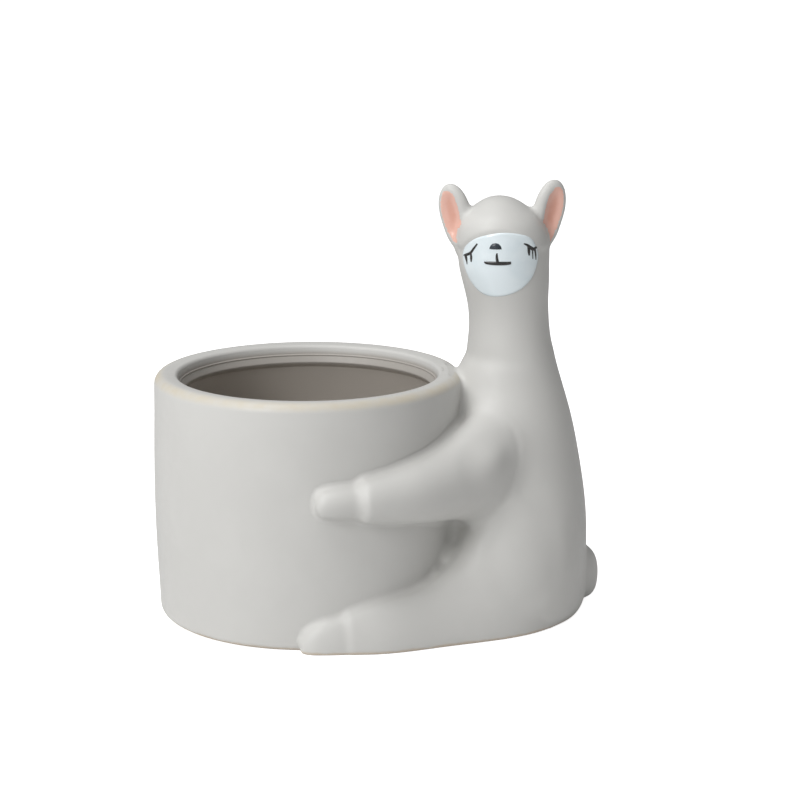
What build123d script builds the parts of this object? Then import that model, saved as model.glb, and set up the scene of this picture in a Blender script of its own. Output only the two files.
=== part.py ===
from build123d import *
import os
from math import cos, radians, sin

os.makedirs("parts", exist_ok=True)

# The planter stands on the plane z = 0 and its origin is the middle of its base.
# The pot is on the -X side, the animal sits on the +X side and the viewer is on the -Y side.
# Lengths are in millimetres and angles in degrees.

# Driving sizes of the pot
pot_radius = 35.0
pot_height = 55.0
pot_foot_draft = 0.8
pot_top_draft = 0.5
foot_rounding = 2.6
lip_rounding = 3.0
lip_width = 5.6
lip_inner_rounding = 0.8
collar_step = 1.4
collar_height = 3.6
collar_groove_height = 2.0
collar_groove_depth = 0.35
undercut_height = 2.4
pot_wall = 4.2
pot_floor = 4.5
bowl_rounding = 6.0
foot_ring_width = 6.0
foot_ring_height = 1.0
drain_hole_radius = 4.5

# Driving sizes of the animal: lengths run out from the pot's wall, rises up from the pot's rim
body_length = 28.4
body_half_width = 24.0
shoulder_rise = 2.0
neck_offset = 10.2
neck_height = 36.9
head_radius = 10.4
head_setback = 1.3
tail_length = 3.1
tail_radius = 5.0
tail_height = 12.8
tail_clearance = 0.4

# Ears: their feet lie this far below the top of the head, and their tips lean away from it
ear_drop = 12.4
ear_half_width = 3.75
ear_half_depth = 2.05
left_ear_height = 15.3
left_ear_lean = 3.5
left_ear_turn = 26.0
left_ear_foot_share = 0.86
right_ear_height = 16.1
right_ear_lean = 3.5
right_ear_turn = -16.0
right_ear_foot_share = 0.77
dish_outward = 0.75
ear_lining_thickness = 0.5

# Face: the head is turned from the viewer's side towards the pot by this angle
face_turn = 13.0
face_drop = 6.9
face_height = 14.1
face_half_width = 8.4
glaze_thickness = 0.3
enamel_thickness = 0.2
nose_up = 10.5
nose_shift = -0.4
nose_radius = 1.5
mouth_up = 7.4
mouth_half_width = 2.9
mouth_line = 0.75
mouth_lift = 0.25
philtrum_rise = 2.2
philtrum_line = 0.5
lash_line = 0.45

# Heights and reaches that follow, with reaches measured from the pot's axis
pot_foot_radius = pot_radius - pot_foot_draft
pot_top_radius = pot_radius - pot_top_draft
lip_inner_radius = pot_radius - lip_width
collar_radius = lip_inner_radius - collar_step
back_reach = pot_radius + body_length
tail_reach = back_reach + tail_length
neck_reach = pot_radius + neck_offset
head_reach = neck_reach - head_setback
shoulder_height = pot_height + shoulder_rise
head_top = shoulder_height + neck_height
ear_foot_height = head_top - ear_drop

# Where the pot's axis lies, with the whole planter centred on the origin
overall_length = pot_radius + tail_reach
pot_axis_x = pot_radius - overall_length / 2
pot_axis = Axis((pot_axis_x, 0, 0), (0, 0, 1))
side_plane = Plane(origin=(pot_axis_x, 0, 0), x_dir=(1, 0, 0), z_dir=(0, -1, 0))


def radial_plane(angle, reach, height):
    """A plane through the pot's axis, turned from the viewer's side towards the animal."""
    outward = (sin(radians(angle)), -cos(radians(angle)), 0)
    backward = (-cos(radians(angle)), -sin(radians(angle)), 0)
    origin = (pot_axis_x + reach * outward[0], reach * outward[1], height)
    return Plane(origin=origin, x_dir=outward, z_dir=backward)


def level_plane(reach, height):
    """A level plane whose origin is the middle of a body section."""
    return Plane(origin=(pot_axis_x + reach, 0, height), z_dir=(0, 0, 1))


def oval(plane, half_width, half_height):
    """A level or upright oval in two half turns, so that every section starts at one side."""
    with BuildSketch(plane) as section:
        with BuildLine():
            EllipticalCenterArc((0, 0), half_width, half_height, start_angle=0, arc_size=180)
            EllipticalCenterArc((0, 0), half_width, half_height, start_angle=180, arc_size=180)
        make_face()
    return section.sketch


def half_oval(plane, half_width, height):
    """The upper half of an oval, standing on the ground."""
    with BuildSketch(plane) as section:
        with BuildLine():
            crown = EllipticalCenterArc((0, 0), half_width, height, start_angle=0, arc_size=180)
            Line(crown @ 1, crown @ 0)
        make_face()
    return section.sketch


# Pot: the closed outer form first, because every limb is seated against it
with BuildPart() as pot_form:
    with BuildSketch(side_plane):
        with BuildLine():
            foot = Line((0, 0), (pot_foot_radius - foot_rounding, 0))
            foot_edge = RadiusArc(foot @ 1, (pot_foot_radius, foot_rounding), -foot_rounding)
            wall = Spline(
                foot_edge @ 1,
                (pot_radius, pot_height / 2),
                (pot_top_radius, pot_height - lip_rounding),
            )
            lip_edge = RadiusArc(
                wall @ 1, (pot_top_radius - lip_rounding, pot_height), -lip_rounding
            )
            top = Line(lip_edge @ 1, (0, pot_height))
            Line(top @ 1, (0, 0))
        make_face()
    revolve(axis=pot_axis)

bowl_radius = pot_radius - pot_wall
collar_bottom = pot_height - lip_inner_rounding - collar_height
groove_top = pot_height - lip_inner_rounding - collar_groove_height

with BuildPart() as pot:
    add(pot_form.part)
    with BuildSketch(side_plane):
        with BuildLine():
            lip_top = Line((0, pot_height), (lip_inner_radius + lip_inner_rounding, pot_height))
            lip_inside = RadiusArc(
                lip_top @ 1, (lip_inner_radius, pot_height - lip_inner_rounding), lip_inner_rounding
            )
            collar = Polyline(
                lip_inside @ 1,
                (lip_inner_radius - collar_groove_depth, groove_top),
                (lip_inner_radius - 2 * collar_groove_depth, groove_top),
                (collar_radius, collar_bottom),
                (collar_radius, collar_bottom - collar_groove_depth),
                (bowl_radius, collar_bottom - undercut_height),
                (bowl_radius, pot_floor + bowl_rounding),
            )
            bowl_corner = RadiusArc(
                collar @ 1, (bowl_radius - bowl_rounding, pot_floor), bowl_rounding
            )
            bowl_floor = Line(bowl_corner @ 1, (0, pot_floor))
            Line(bowl_floor @ 1, (0, pot_height))
        make_face()
    revolve(axis=pot_axis, mode=Mode.SUBTRACT)
    with BuildSketch(level_plane(0, 0)):
        Circle(pot_foot_radius - foot_ring_width)
    extrude(amount=foot_ring_height, mode=Mode.SUBTRACT)
    with BuildSketch(level_plane(0, 0)):
        Circle(drain_hole_radius)
    extrude(amount=pot_floor, mode=Mode.SUBTRACT)

pot.part.label = "pot"
export_step(pot.part, "parts/pot.step")

# Torso: level ovals from the base up to the shoulders
# Each row: height, front and back as shares of the reach to the back, and half width
torso_shares = [
    (0.0, 0.46, 0.978, 0.98),
    (0.035, 0.45, 0.995, 1.02),
    (0.19, 0.45, 1.0, 1.02),
    (0.38, 0.45, 0.997, 0.89),
    (0.56, 0.46, 0.977, 0.72),
    (0.72, 0.48, 0.950, 0.61),
    (0.86, 0.51, 0.917, 0.51),
    (0.94, 0.53, 0.895, 0.46),
    (1.0, 0.552, 0.880, 0.425),
]


def torso_section(row):
    """The plane and the half sizes of one level oval of the torso."""
    height_share, front_share, back_share, width_share = row
    middle = back_reach * (front_share + back_share) / 2
    half_length = back_reach * (back_share - front_share) / 2
    plane = level_plane(middle, shoulder_height * height_share)
    return plane, half_length, body_half_width * width_share


with BuildPart() as torso:
    loft([oval(*torso_section(row)) for row in torso_shares])
    add(pot_form.part, mode=Mode.SUBTRACT)

torso.part.label = "torso"
export_step(torso.part, "parts/torso.step")

# Neck and head: level ovals from the shoulders to the top of the wool cap
# Each row: height as a share from the shoulders to the top, share of the setback that the head
# has towards the pot, half width and half depth as shares of the head's radius
neck_shares = [
    (0.0, -0.17, 0.985, 0.98),
    (0.09, -0.17, 0.925, 0.93),
    (0.19, 0.0, 0.89, 0.90),
    (0.30, 0.17, 0.88, 0.89),
    (0.39, 0.42, 0.905, 0.92),
    (0.49, 0.73, 0.955, 0.97),
    (0.59, 1.04, 0.99, 1.0),
    (0.69, 1.11, 0.995, 1.0),
    (0.79, 1.32, 0.94, 0.95),
    (0.88, 1.56, 0.785, 0.80),
    (0.94, 1.70, 0.555, 0.57),
    (0.975, 1.77, 0.36, 0.37),
    (0.993, 1.81, 0.19, 0.20),
]


def neck_section(row, growth):
    """The plane and the half sizes of one oval, grown all round."""
    height_share, setback_share, width_share, depth_share = row
    middle = neck_reach - head_setback * setback_share
    plane = level_plane(middle, shoulder_height + neck_height * height_share)
    return plane, head_radius * width_share + growth, head_radius * depth_share + growth


crown = Vertex(pot_axis_x + neck_reach - head_setback * neck_shares[-1][1], 0, head_top)

with BuildPart() as neck_and_head:
    loft([oval(*neck_section(row, 0)) for row in neck_shares] + [crown])

neck_and_head.part.label = "neck_and_head"
export_step(neck_and_head.part, "parts/neck_and_head.step")

# Limbs: ovals in radial planes round the pot, cut where they lie against pot and torso
# Each row: angle round the pot from the viewer's side, stand-off from the pot's axis and half
# thickness as shares of the pot's radius, height and half height as shares of the pot's height
foreleg_shares = [
    (17.3, 1.020, 0.130, 0.605, 0.083),
    (24.0, 1.028, 0.142, 0.608, 0.094),
    (32.0, 1.036, 0.160, 0.610, 0.108),
    (41.0, 1.046, 0.177, 0.615, 0.125),
    (50.0, 1.058, 0.190, 0.620, 0.142),
    (59.0, 1.085, 0.203, 0.632, 0.164),
    (68.0, 1.135, 0.208, 0.655, 0.184),
    (77.0, 1.220, 0.200, 0.695, 0.190),
    (86.0, 1.340, 0.171, 0.745, 0.170),
]
fore_hoof_shares = [
    (2.0, 1.000, 0.074, 0.602, 0.046),
    (5.0, 1.003, 0.091, 0.603, 0.058),
    (9.0, 1.005, 0.098, 0.604, 0.064),
    (13.0, 1.006, 0.100, 0.605, 0.066),
    (19.0, 1.006, 0.097, 0.606, 0.066),
]
hind_leg_shares = [
    (12.4, 1.003, 0.094, 0.158),
    (20.0, 1.011, 0.120, 0.180),
    (29.0, 1.023, 0.155, 0.196),
    (38.0, 1.040, 0.190, 0.206),
    (47.0, 1.095, 0.225, 0.236),
    (56.0, 1.200, 0.262, 0.322),
    (65.0, 1.315, 0.292, 0.465),
    (74.0, 1.425, 0.270, 0.510),
    (83.0, 1.505, 0.220, 0.460),
]
hind_hoof_shares = [
    (-3.8, 0.988, 0.028, 0.046),
    (-2.5, 0.989, 0.052, 0.078),
    (-0.6, 0.990, 0.066, 0.098),
    (2.0, 0.991, 0.075, 0.115),
    (5.5, 0.993, 0.080, 0.128),
    (10.0, 0.998, 0.082, 0.138),
    (15.0, 1.000, 0.080, 0.143),
]

cuff_rounding_share = 0.032
fore_hoof_rounding_share = 0.062
hind_hoof_rounding_share = 0.027


def limb_section(row):
    """The plane and the half sizes of one oval of a limb."""
    angle, reach_share, thickness_share, height_share, rise_share = row
    plane = radial_plane(angle, pot_radius * reach_share, pot_height * height_share)
    return plane, pot_radius * thickness_share, pot_height * rise_share


def seat_section(row):
    """The plane and the half width and height of one half oval that stands on the ground."""
    angle, reach_share, thickness_share, rise_share = row
    plane = radial_plane(angle, pot_radius * reach_share, 0)
    return plane, pot_radius * thickness_share, pot_height * rise_share


with BuildPart() as left_foreleg:
    loft([oval(*limb_section(row)) for row in foreleg_shares])
    fillet(left_foreleg.faces().sort_by(Axis.X)[0].edges(), pot_radius * cuff_rounding_share)
    add(pot_form.part, mode=Mode.SUBTRACT)
    add(torso.part, mode=Mode.SUBTRACT)

with BuildPart() as left_fore_hoof:
    loft([oval(*limb_section(row)) for row in fore_hoof_shares])
    tip_face = left_fore_hoof.faces().sort_by(Axis.X)[0]
    fillet(tip_face.edges(), pot_radius * fore_hoof_rounding_share)
    add(pot_form.part, mode=Mode.SUBTRACT)
    add(left_foreleg.part, mode=Mode.SUBTRACT)

with BuildPart() as left_hind_leg:
    loft([half_oval(*seat_section(row)) for row in hind_leg_shares])
    cuff_edges = left_hind_leg.faces().sort_by(Axis.X)[0].edges()
    fillet(cuff_edges.sort_by(Axis.Z)[-1], pot_radius * cuff_rounding_share)
    add(pot_form.part, mode=Mode.SUBTRACT)
    add(torso.part, mode=Mode.SUBTRACT)

with BuildPart() as left_hind_hoof:
    loft([half_oval(*seat_section(row)) for row in hind_hoof_shares])
    tip_edges = left_hind_hoof.faces().sort_by(Axis.X)[0].edges()
    fillet(tip_edges.sort_by(Axis.Z)[-1], pot_radius * hind_hoof_rounding_share)
    add(pot_form.part, mode=Mode.SUBTRACT)
    add(left_hind_leg.part, mode=Mode.SUBTRACT)

for name, limb in (
    ("foreleg", left_foreleg),
    ("fore_hoof", left_fore_hoof),
    ("hind_leg", left_hind_leg),
    ("hind_hoof", left_hind_hoof),
):
    limb.part.label = "left_" + name
    export_step(limb.part, "parts/left_" + name + ".step")
    with BuildPart() as far_limb:
        mirror(limb.part, about=Plane.XZ)
    far_limb.part.label = "right_" + name
    export_step(far_limb.part, "parts/right_" + name + ".step")

# Tail: an upright egg set into the back, just clear of the ground
# Half its outline from foot to top, as shares of its radius and of its height
tail_shares = [
    (0.0, 0.0),
    (0.50, 0.02),
    (0.82, 0.12),
    (0.97, 0.30),
    (1.0, 0.50),
    (0.94, 0.70),
    (0.74, 0.87),
    (0.42, 0.97),
    (0.0, 1.0),
]
tail_x = pot_axis_x + tail_reach - tail_radius

with BuildPart() as tail:
    with BuildSketch(Plane(origin=(tail_x, 0, tail_clearance), x_dir=(1, 0, 0), z_dir=(0, -1, 0))):
        with BuildLine():
            tail_points = [(tail_radius * out, tail_height * up) for out, up in tail_shares]
            tail_curve = Spline(*tail_points)
            Line(tail_curve @ 1, tail_curve @ 0)
        make_face()
    revolve(axis=Axis((tail_x, 0, 0), (0, 0, 1)))
    add(torso.part, mode=Mode.SUBTRACT)

tail.part.label = "tail"
export_step(tail.part, "parts/tail.step")

# Ears: a leaf of ovals along each ear, dished out on the side that faces the viewer
# Each row: place from foot to tip, half width and half depth as shares of the ear's own
ear_shares = [
    (0.0, 0.56, 0.95),
    (0.18, 0.74, 1.0),
    (0.36, 0.92, 1.0),
    (0.54, 1.0, 0.97),
    (0.70, 0.97, 0.88),
    (0.83, 0.82, 0.74),
    (0.93, 0.57, 0.52),
    (0.985, 0.27, 0.26),
]
# The dish is a smaller leaf of the same kind, moved forward
dish_shares = [
    (0.14, 0.16, 0.18),
    (0.21, 0.36, 0.48),
    (0.34, 0.58, 0.80),
    (0.50, 0.71, 0.92),
    (0.66, 0.73, 0.92),
    (0.80, 0.65, 0.82),
    (0.90, 0.48, 0.66),
    (0.96, 0.28, 0.46),
]
dish_forward_share = 0.95


def ear_sections(shares, foot, tip, turn, forward, sideways):
    """The ovals of a leaf between foot and tip, moved forward the way the ear faces."""
    rise = tip - foot
    facing = Vector(-sin(radians(turn)), -cos(radians(turn)), 0)
    across = rise.cross(facing).normalized()
    facing = across.cross(rise).normalized()
    sections = []
    for place_share, width_share, depth_share in shares:
        middle = foot + rise * place_share + facing * forward + across * sideways
        plane = Plane(origin=middle, x_dir=across, z_dir=rise.normalized())
        sections.append(oval(plane, ear_half_width * width_share, ear_half_depth * depth_share))
    return sections


head_middle = Vector(pot_axis_x + head_reach, 0, ear_foot_height)
left_ear_foot = head_middle - Vector(head_radius * left_ear_foot_share, 0, 0)
left_ear_tip = left_ear_foot + Vector(-left_ear_lean, 0, left_ear_height)
right_ear_foot = head_middle + Vector(head_radius * right_ear_foot_share, 0, 0)
right_ear_tip = right_ear_foot + Vector(right_ear_lean, 0, right_ear_height)
dish_forward = ear_half_depth * dish_forward_share
lining_forward = dish_forward + ear_lining_thickness

for side, foot, tip, turn, outward in (
    ("left", left_ear_foot, left_ear_tip, left_ear_turn, -dish_outward),
    ("right", right_ear_foot, right_ear_tip, right_ear_turn, dish_outward),
):
    with BuildPart() as ear_form:
        loft(ear_sections(ear_shares, foot, tip, turn, 0, 0) + [Vertex(*tip)])
    with BuildPart() as dish:
        loft(ear_sections(dish_shares, foot, tip, turn, dish_forward, outward))
    with BuildPart() as ear:
        add(ear_form.part)
        add(dish.part, mode=Mode.SUBTRACT)
        add(neck_and_head.part, mode=Mode.SUBTRACT)
    ear.part.label = side + "_ear"
    export_step(ear.part, "parts/" + side + "_ear.step")
    with BuildPart() as ear_lining:
        add(dish.part)
        add(ear_form.part, mode=Mode.INTERSECT)
        loft(
            ear_sections(dish_shares, foot, tip, turn, lining_forward, outward),
            mode=Mode.SUBTRACT,
        )
        add(neck_and_head.part, mode=Mode.SUBTRACT)
    ear_lining.part.label = side + "_ear_lining"
    export_step(ear_lining.part, "parts/" + side + "_ear_lining.step")

# Face: each coat is the head's own form grown by its thickness, cut out by its outline
face_plane = Plane(
    origin=(pot_axis_x + head_reach, 0, head_top - face_drop - face_height),
    x_dir=(cos(radians(face_turn)), -sin(radians(face_turn)), 0),
    z_dir=(-sin(radians(face_turn)), -cos(radians(face_turn)), 0),
)
# The white patch clockwise from its top, as shares of its half width and of its height
face_outline_shares = [
    (0.06, 1.0),
    (0.55, 0.98),
    (0.86, 0.89),
    (1.0, 0.68),
    (0.99, 0.50),
    (0.86, 0.27),
    (0.55, 0.09),
    (0.10, 0.0),
    (-0.35, 0.01),
    (-0.68, 0.14),
    (-0.92, 0.37),
    (-1.0, 0.62),
    (-0.84, 0.79),
    (-0.50, 0.92),
]
# Closed lids and hanging lashes: a lid curve, then each lash from the lid to its tip
left_lid_shares = [(-0.53, 0.81), (-0.70, 0.68), (-0.94, 0.60)]
left_lash_shares = [((-0.66, 0.71), (-0.69, 0.54)), ((-0.78, 0.64), (-0.83, 0.50))]
right_lid_shares = [(0.64, 0.815), (0.81, 0.775), (0.95, 0.75)]
right_lash_shares = [
    ((0.71, 0.80), (0.77, 0.65)),
    ((0.81, 0.775), (0.88, 0.58)),
    ((0.89, 0.76), (0.94, 0.60)),
]


def face_point(shares):
    """A point of the face plane from shares of the face's half width and height."""
    return shares[0] * face_half_width, shares[1] * face_height


with BuildPart() as glaze_coat:
    loft([oval(*neck_section(row, glaze_thickness)) for row in neck_shares])

with BuildPart() as enamel_coat:
    loft([oval(*neck_section(row, glaze_thickness + enamel_thickness)) for row in neck_shares])

with BuildPart() as face_glaze:
    with BuildSketch(face_plane):
        with BuildLine():
            Spline(*[face_point(shares) for shares in face_outline_shares], periodic=True)
        make_face()
    extrude(amount=pot_radius)
    add(glaze_coat.part, mode=Mode.INTERSECT)
    add(neck_and_head.part, mode=Mode.SUBTRACT)

with BuildPart() as nose:
    with BuildSketch(face_plane):
        with BuildLine():
            bridge = CenterArc((nose_shift, nose_up), nose_radius, start_angle=0, arc_size=180)
            Line(bridge @ 1, bridge @ 0)
        make_face()
    extrude(amount=pot_radius)
    add(enamel_coat.part, mode=Mode.INTERSECT)
    add(glaze_coat.part, mode=Mode.SUBTRACT)

with BuildPart() as mouth:
    with BuildSketch(face_plane):
        with BuildLine():
            ThreePointArc(
                (-mouth_half_width, mouth_up + mouth_lift),
                (0, mouth_up),
                (mouth_half_width, mouth_up + mouth_lift),
            )
        trace(line_width=mouth_line)
        with BuildLine():
            Line((0, mouth_up), (0, mouth_up + philtrum_rise))
        trace(line_width=philtrum_line)
    extrude(amount=pot_radius)
    add(enamel_coat.part, mode=Mode.INTERSECT)
    add(glaze_coat.part, mode=Mode.SUBTRACT)

for name, marking in (("face_glaze", face_glaze), ("nose", nose), ("mouth", mouth)):
    marking.part.label = name
    export_step(marking.part, "parts/" + name + ".step")

for side, lid_shares, lash_shares in (
    ("left", left_lid_shares, left_lash_shares),
    ("right", right_lid_shares, right_lash_shares),
):
    with BuildPart() as eye:
        with BuildSketch(face_plane):
            with BuildLine():
                Spline(*[face_point(shares) for shares in lid_shares])
                for lash_root_shares, lash_tip_shares in lash_shares:
                    Line(face_point(lash_root_shares), face_point(lash_tip_shares))
            trace(line_width=lash_line)
        extrude(amount=pot_radius)
        add(enamel_coat.part, mode=Mode.INTERSECT)
        add(glaze_coat.part, mode=Mode.SUBTRACT)
    eye.part.label = side + "_eye"
    export_step(eye.part, "parts/" + side + "_eye.step")
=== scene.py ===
"""Animal shaped planter: a small stoneware pot hugged by a sitting alpaca.

The clay body is sculpted as one skin: the parts of the frame are measured as distance fields,
melted into each other where the potter smooths the joins, and the skin is then shared out
among the parts again, each as its own closed shell.
"""

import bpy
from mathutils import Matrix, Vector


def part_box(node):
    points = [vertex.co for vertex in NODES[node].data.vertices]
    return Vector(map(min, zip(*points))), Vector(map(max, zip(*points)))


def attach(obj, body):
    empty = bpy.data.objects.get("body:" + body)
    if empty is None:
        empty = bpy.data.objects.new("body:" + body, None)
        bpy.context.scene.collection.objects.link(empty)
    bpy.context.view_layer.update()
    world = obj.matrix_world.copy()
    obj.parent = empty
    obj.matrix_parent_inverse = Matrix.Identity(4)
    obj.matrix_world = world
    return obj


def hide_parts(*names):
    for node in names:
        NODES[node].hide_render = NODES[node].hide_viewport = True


bl_info = {
    "name": "Animal Shaped Planter",
    "version": (1, 0, 0),
    "blender": (4, 5, 0),
    "location": "3D View > Sidebar > Planter",
    "description": "Builds a glazed stoneware planter in the shape of a sitting alpaca",
    "category": "Object",
}

from math import cos, pi, radians, sin

import bpy
import numpy as np
import openvdb
from mathutils import Matrix, Vector

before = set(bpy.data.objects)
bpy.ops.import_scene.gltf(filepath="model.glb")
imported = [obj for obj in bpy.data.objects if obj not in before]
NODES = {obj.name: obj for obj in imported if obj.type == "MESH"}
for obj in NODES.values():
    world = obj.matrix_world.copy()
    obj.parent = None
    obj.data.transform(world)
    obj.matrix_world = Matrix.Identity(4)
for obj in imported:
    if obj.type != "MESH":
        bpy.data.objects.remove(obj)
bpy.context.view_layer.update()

MM = 0.001
POT_LOW, POT_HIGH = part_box("pot")
POT_AXIS = (POT_LOW.x + POT_HIGH.x) / 2
POT_RADIUS = (POT_HIGH.x - POT_LOW.x) / 2
POT_HEIGHT = POT_HIGH.z
HEAD_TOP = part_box("neck_and_head")[1].z


# Sizes and colours


def length_setting(name, description, default):
    """A length in metres that a user may change."""
    return bpy.props.FloatProperty(
        name=name, description=description, default=default, unit="LENGTH"
    )


def colour_setting(name, description, default):
    """A colour that a user may change."""
    return bpy.props.FloatVectorProperty(
        name=name, description=description, default=default, subtype="COLOR", size=3
    )


class PlanterPotSizes(bpy.types.PropertyGroup):
    """Sizes of the turned pot"""

    foot_draft: length_setting("Foot draft", "How far the foot is drawn in", 0.0008)
    lip_draft: length_setting("Lip draft", "How far the lip is drawn in", 0.0005)
    foot_rounding: length_setting("Foot rounding", "Radius under the wall", 0.0016)
    lip_rounding: length_setting("Lip rounding", "Radius of the lip outside", 0.0024)
    lip_width: length_setting("Lip width", "From the wall to the lip's inner edge", 0.0056)
    lip_fall: length_setting("Lip fall", "How far the lip slopes down inwards", 0.0006)
    lip_edge: length_setting("Lip edge", "Radius of the lip's inner edge", 0.0010)
    collar_drop: length_setting("Collar drop", "From the top to the collar", 0.0008)
    collar_step: length_setting("Collar step", "How far the collar stands in", 0.0014)
    collar_height: length_setting("Collar height", "Height of the inner collar", 0.0036)
    ledge_depth: length_setting("Ledge depth", "From the wall to the ledge's root", 0.0060)
    ledge_slope: length_setting("Ledge slope", "How far the ledge falls to its root", 0.0012)
    ledge_rounding: length_setting("Ledge rounding", "Radius at the ledge's root", 0.0006)
    bowl_taper: length_setting("Bowl taper", "How far down the bowl's wall thins", 0.0100)
    bowl_rounding: length_setting("Bowl rounding", "Radius of the bowl's corners", 0.0060)
    wall: length_setting("Wall", "Thickness of the wall", 0.0042)
    floor: length_setting("Floor", "Thickness of the floor", 0.0045)
    drain_radius: length_setting("Drain radius", "Radius of the drain hole", 0.0045)
    drain_rounding: length_setting("Drain rounding", "Radius of the drain's top edge", 0.0008)
    drain_edge: length_setting("Drain edge", "Radius of the drain's lower edge", 0.0003)
    foot_ring: length_setting("Foot ring", "Width of the ring under the pot", 0.0060)
    foot_recess: length_setting("Foot recess", "Depth inside the foot ring", 0.0010)
    foot_edge: length_setting("Foot edge", "Radius of the foot ring's inner edges", 0.0004)
    turns: bpy.props.IntProperty(
        name="Turns", description="Steps around the pot", default=256, min=32
    )


class PlanterSkinSizes(bpy.types.PropertyGroup):
    """Sizes of the sculpted clay skin"""

    grain: length_setting("Grain", "Step of the sculpting grid", 0.0004)
    join_radius: length_setting("Join radius", "Radius between limbs and body", 0.0036)
    hollow_radius: length_setting("Hollow radius", "Radius between arm, thigh and pot", 0.0016)
    seam_radius: length_setting("Seam radius", "Radius of creases and seams", 0.0006)
    softness: length_setting("Softness", "How far the glaze softens the clay's edges", 0.00042)
    shell: length_setting("Shell", "Thickness of each part's closed shell", 0.0008)
    cuff_radius: length_setting("Cuff radius", "Radius between a sleeve and its hoof", 0.0022)
    melt: length_setting("Melt", "How far arms and body run into each other", 0.0036)
    haunch_melt: length_setting("Haunch melt", "How far thighs and flanks melt", 0.0065)
    flank_softness: length_setting("Flank softness", "How far the flank is smoothed", 0.0022)
    shoulder_softness: length_setting(
        "Shoulder softness", "How far the shoulder is smoothed into the body", 0.0030
    )
    shoulder_rise: length_setting("Shoulder", "How far the arm's root swells out", 0.0040)
    cap_rise: length_setting("Wool cap", "How far the wool stands over the face", 0.0005)


class PlanterFaceSizes(bpy.types.PropertyGroup):
    """Sizes of the glazed face and its painted lines"""

    turn: bpy.props.FloatProperty(
        name="Turn", description="How far the head looks towards the pot",
        default=radians(13.0), subtype="ANGLE",
    )
    setback: length_setting("Setback", "Middle of the head, from the pot's axis", 0.0439)
    top_drop: length_setting("Top drop", "From the crown to the white patch", 0.0069)
    height: length_setting("Height", "Height of the white patch", 0.0141)
    half_width: length_setting("Half width", "Half width of the white patch", 0.0084)
    glaze: length_setting("Glaze", "Thickness of the white glaze", 0.0003)
    nose_radius: length_setting("Nose", "Radius of the painted nose", 0.0016)
    line_width: length_setting("Line width", "Width of the painted mouth", 0.00108)


class PlanterColours(bpy.types.PropertyGroup):
    """Colours of the glazes"""

    clay: colour_setting("Stone glaze", "The satin glaze of pot and animal", (0.594, 0.589, 0.568))
    bare: colour_setting("Bare clay", "Clay where the glaze is thin", (0.560, 0.480, 0.385))
    # The bowl's colour is its thin brownish glaze, made darker as well to paint in the shade inside
    # the bowl
    bowl: colour_setting("Bowl", "Thin glaze inside the bowl", (0.430, 0.395, 0.355))
    pink: colour_setting("Ear pink", "Glaze in the ears", (0.800, 0.480, 0.395))
    white: colour_setting("Face white", "Glaze on the face", (0.735, 0.805, 0.835))
    enamel: colour_setting("Enamel", "Painted lines", (0.024, 0.022, 0.021))
    nose: colour_setting("Nose", "Painted nose", (0.030, 0.040, 0.052))


SETTINGS = {
    "planter_pot": PlanterPotSizes,
    "planter_skin": PlanterSkinSizes,
    "planter_face": PlanterFaceSizes,
    "planter_colours": PlanterColours,
}


# Node trees


def fill(tree, made, inputs):
    """Fills inputs of a node, each found by name or number, from sockets or plain values."""
    for name, value in inputs.items():
        if isinstance(value, bpy.types.NodeSocket):
            tree.links.new(value, made.inputs[name])
        else:
            made.inputs[name].default_value = value


def node(tree, kind, inputs=None, **values):
    """Adds a shader or geometry node, sets its properties and fills its inputs."""
    made = tree.nodes.new(kind)
    for name, value in values.items():
        setattr(made, name, value)
    fill(tree, made, inputs or {})
    return made


def maths(tree, operation, *values):
    """The result of an operation on numbers, each a socket or a plain value."""
    return node(tree, "ShaderNodeMath", dict(enumerate(values)), operation=operation).outputs[0]


def vector_maths(tree, operation, *values):
    """The result of an operation on vectors, each a socket or a plain vector."""
    made = node(tree, "ShaderNodeVectorMath", dict(enumerate(values)), operation=operation)
    return made.outputs["Value" if operation in ("LENGTH", "DOT_PRODUCT") else "Vector"]


def noise(tree, place, scale, detail, roughness):
    """A noise texture read in object space."""
    inputs = {"Vector": place, "Scale": scale, "Detail": detail, "Roughness": roughness}
    return node(tree, "ShaderNodeTexNoise", inputs).outputs["Fac"]


def ramp(tree, value, low, high, low_out=0.0, high_out=1.0):
    """Maps a value smoothly from one range to another."""
    inputs = {
        "Value": value, "From Min": low, "From Max": high, "To Min": low_out, "To Max": high_out
    }
    made = node(tree, "ShaderNodeMapRange", inputs, interpolation_type="SMOOTHSTEP")
    return made.outputs["Result"]


def blend_colour(tree, factor, first, second):
    """Mixes two colours, each a socket or a plain colour."""
    inputs = {0: factor}
    for number, colour in ((6, first), (7, second)):
        linked = isinstance(colour, bpy.types.NodeSocket)
        inputs[number] = colour if linked else (*colour, 1.0)
    return node(tree, "ShaderNodeMix", inputs, data_type="RGBA").outputs[2]


def geometry_tree(name, inputs):
    """An empty geometry node tree with named inputs, and the sockets that give them."""
    tree = bpy.data.node_groups.new(name, "GeometryNodeTree")
    for label, kind in inputs.items():
        tree.interface.new_socket(label, in_out="INPUT", socket_type="NodeSocket" + kind)
    tree.interface.new_socket("Geometry", in_out="OUTPUT", socket_type="NodeSocketGeometry")
    return tree, node(tree, "NodeGroupInput").outputs


def finish_tree(tree, geometry, material):
    """Ends a geometry node tree with a smooth, real and glazed mesh."""
    for kind in ("GeometryNodeSetShadeSmooth", "GeometryNodeRealizeInstances"):
        geometry = node(tree, kind, {0: geometry}).outputs[0]
    glazed = node(tree, "GeometryNodeSetMaterial", {0: geometry, "Material": material})
    node(tree, "NodeGroupOutput", {0: glazed.outputs[0]})
    return tree
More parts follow.
